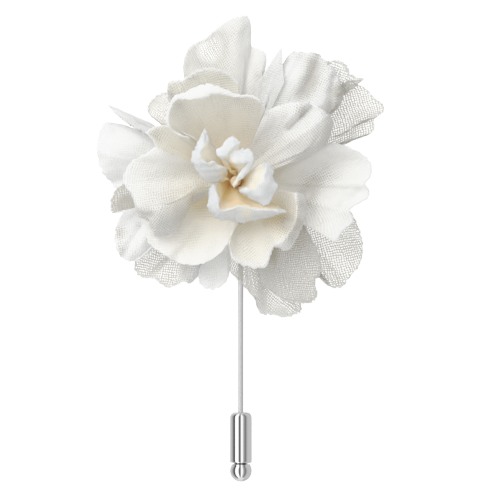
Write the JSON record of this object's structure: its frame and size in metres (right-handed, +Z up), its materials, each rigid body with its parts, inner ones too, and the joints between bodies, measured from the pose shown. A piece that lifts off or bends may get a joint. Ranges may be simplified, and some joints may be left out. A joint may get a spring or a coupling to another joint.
{
  "type": "boutonniere",
  "caption": "White fabric flower boutonniere with layered gauze and muslin petals, cream centre, steel stick pin and ball-ended clutch on its point.",
  "frame": {"origin": "middle of the bounding box, on the surface that the felt back and the clutch lie on", "axes": "+Z up out of the bloom's face, -Y along the pin from the bloom to the clutch, +X to the right"},
  "size_m": [0.0653, 0.106, 0.025],
  "materials": {
    "gauze": "open weave, matt",
    "muslin": "stiffened, matt",
    "tinted_muslin": "stiffened, matt",
    "felt": "matt",
    "glue": "satin",
    "steel": "polished",
    "chrome": "mirror",
    "grip_rubber": "matt"
  },
  "bodies": {
    "flower_pin": {"petals_rear_gauze": "gauze", "petals_second_gauze": "gauze", "petals_middle": "muslin", "petals_inner": "muslin", "petals_centre": "tinted_muslin", "felt_backing": "felt", "glue_bed": "glue", "pin_pad": "steel", "pin_needle": "steel"},
    "clutch": {"clutch_barrel": "chrome", "clutch_grip": "grip_rubber", "clutch_ball": "chrome"}
  },
  "joints": [
    {"name": "clutch_slide", "type": "slide", "parent": "flower_pin", "child": "clutch", "axis": [0, -1, 0], "range_m": [0, 0.0095]}
  ]
}
